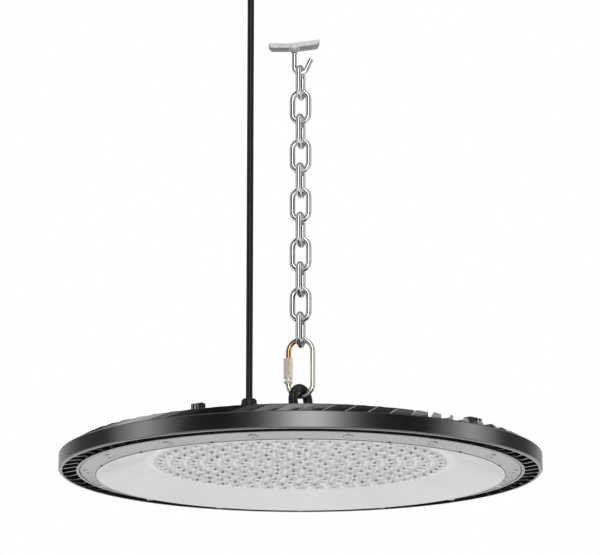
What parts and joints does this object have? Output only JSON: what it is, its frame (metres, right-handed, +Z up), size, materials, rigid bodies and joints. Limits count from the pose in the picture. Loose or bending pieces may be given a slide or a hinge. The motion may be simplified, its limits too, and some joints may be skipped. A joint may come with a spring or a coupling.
{
  "type": "high bay light",
  "caption": "Round black high bay luminaire with swirl cooling fins and a domed lens, hung from an eye by a quick link, a chain and a spring toggle hook.",
  "frame": {"origin": "pivot of the toggle nut, on the axis of the ceiling hole, where the straight shank of the ceiling hook passes through it", "axes": "+Z up along the hook's shank, +X to the right seen from the side the wings face, +Y away from the viewer; the luminaire hangs below and its lens faces -Z"},
  "size_m": [0.38, 0.38, 0.4271],
  "materials": {
    "zinc_wire": "bright zinc",
    "zinc_sheet": "zinc plated",
    "yellow_zinc": "yellow zinc plate",
    "black_casting": "satin black",
    "black_steel": "satin black",
    "steel": "plain",
    "lens_clear": "translucent frosted",
    "board_white": "white solder mask",
    "chip_yellow": "phosphor",
    "rubber": "matt",
    "pad_grey": "matt",
    "board_green": "solder mask",
    "ferrite": "ferrite and tape",
    "copper": "enamelled",
    "capacitor_sleeve": "sleeved",
    "nylon_black": "moulded",
    "nylon_white": "moulded",
    "lead_sheath": "pvc",
    "cord_sheath": "satin"
  },
  "bodies": {
    "anchor": {"toggle_nut": "zinc_sheet", "toggle_spring": "zinc_wire", "ceiling_hook": "zinc_wire"},
    "wing_left": {"toggle_wing_left": "zinc_sheet"},
    "wing_right": {"toggle_wing_right": "zinc_sheet"},
    "link_01": {"chain_link_01": "zinc_wire"},
    "link_02": {"chain_link_02": "zinc_wire"},
    "link_03": {"chain_link_03": "zinc_wire"},
    "link_04": {"chain_link_04": "zinc_wire"},
    "link_05": {"chain_link_05": "zinc_wire"},
    "link_06": {"chain_link_06": "zinc_wire"},
    "link_07": {"chain_link_07": "zinc_wire"},
    "link_08": {"chain_link_08": "zinc_wire"},
    "link_09": {"chain_link_09": "zinc_wire"},
    "link_10": {"chain_link_10": "zinc_wire"},
    "link_11": {"chain_link_11": "zinc_wire"},
    "quick_link": {"quick_link_body": "yellow_zinc"},
    "sleeve": {"quick_link_sleeve": "zinc_wire"},
    "luminaire": {"lifting_eye": "black_steel", "eye_washer": "rubber", "eye_lock_nut": "steel", "heat_sink": "black_casting", "driver_cover": "black_casting", "driver_cover_gasket": "rubber", "driver_cover_screws": "steel", "driver_circuit_board": "board_green", "board_standoffs": "steel", "board_screws": "steel", "transformer": "ferrite", "choke_coil": "copper", "capacitors": "capacitor_sleeve", "power_transistors": "nylon_black", "terminal_block": "nylon_white", "mains_leads": "lead_sheath", "led_leads": "lead_sheath", "led_connector": "nylon_white", "thermal_pad": "pad_grey", "led_board": "board_white", "led_chips": "chip_yellow", "led_board_screws": "steel", "lens": "lens_clear", "lens_gasket": "rubber", "lens_screws": "steel", "gland_body": "nylon_black", "gland_nut": "nylon_black", "gland_seal": "rubber", "gland_locknut": "nylon_black", "supply_cord": "cord_sheath", "ceiling_grip_nut": "nylon_black", "ceiling_grip": "nylon_black"}
  },
  "joints": [
    {"name": "wing_left_fold", "type": "hinge", "parent": "anchor", "child": "wing_left", "pos_m": [0, 0, 0], "axis": [0, -1, 0], "range_deg": [0, 75], "stiffness_Nm_per_rad": 0.004, "springref_deg": -34.38, "deforming": ["toggle_spring"]},
    {"name": "wing_right_fold", "type": "hinge", "parent": "anchor", "child": "wing_right", "pos_m": [0, 0, 0], "axis": [0, 1, 0], "range_deg": [-8, 45], "stiffness_Nm_per_rad": 0.004, "springref_deg": -34.38, "deforming": ["toggle_spring"]},
    {"name": "link_01_swing", "type": "hinge", "parent": "anchor", "child": "link_01", "pos_m": [0.005, 0, -0.02085], "axis": [0.9659, -0.2588, 0], "range_deg": [-40, 40]},
    {"name": "link_02_swing", "type": "hinge", "parent": "link_01", "child": "link_02", "pos_m": [0.005, 0, -0.0417], "axis": [0.2588, 0.9659, 0], "range_deg": [-60, 60]},
    {"name": "link_03_swing", "type": "hinge", "parent": "link_02", "child": "link_03", "pos_m": [0.005, 0, -0.0623], "axis": [-0.9659, 0.2588, 0], "range_deg": [-60, 60]},
    {"name": "link_04_swing", "type": "hinge", "parent": "link_03", "child": "link_04", "pos_m": [0.005, 0, -0.0829], "axis": [-0.2588, -0.9659, 0], "range_deg": [-60, 60]},
    {"name": "link_05_swing", "type": "hinge", "parent": "link_04", "child": "link_05", "pos_m": [0.005, 0, -0.1035], "axis": [0.9659, -0.2588, 0], "range_deg": [-60, 60]},
    {"name": "link_06_swing", "type": "hinge", "parent": "link_05", "child": "link_06", "pos_m": [0.005, 0, -0.1241], "axis": [0.2588, 0.9659, 0], "range_deg": [-60, 60]},
    {"name": "link_07_swing", "type": "hinge", "parent": "link_06", "child": "link_07", "pos_m": [0.005, 0, -0.1447], "axis": [-0.9659, 0.2588, 0], "range_deg": [-60, 60]},
    {"name": "link_08_swing", "type": "hinge", "parent": "link_07", "child": "link_08", "pos_m": [0.005, 0, -0.1653], "axis": [-0.2588, -0.9659, 0], "range_deg": [-60, 60]},
    {"name": "link_09_swing", "type": "hinge", "parent": "link_08", "child": "link_09", "pos_m": [0.005, 0, -0.1859], "axis": [0.9659, -0.2588, 0], "range_deg": [-60, 60]},
    {"name": "link_10_swing", "type": "hinge", "parent": "link_09", "child": "link_10", "pos_m": [0.005, 0, -0.2065], "axis": [0.2588, 0.9659, 0], "range_deg": [-60, 60]},
    {"name": "link_11_swing", "type": "hinge", "parent": "link_10", "child": "link_11", "pos_m": [0.005, 0, -0.2271], "axis": [-0.9659, 0.2588, 0], "range_deg": [-60, 60]},
    {"name": "quick_link_swing", "type": "hinge", "parent": "link_11", "child": "quick_link", "pos_m": [0.005, 0, -0.2477], "axis": [-0.2588, -0.9659, 0], "range_deg": [-60, 60]},
    {"name": "sleeve_travel", "type": "slide", "parent": "quick_link", "child": "sleeve", "axis": [0, 0, 1], "range_m": [0, 0.0047]},
    {"name": "lamp_swing", "type": "hinge", "parent": "quick_link", "child": "luminaire", "pos_m": [0.005, 0, -0.28915], "axis": [0.9659, -0.2588, 0], "range_deg": [-45, 45], "deforming": ["supply_cord"]}
  ]
}
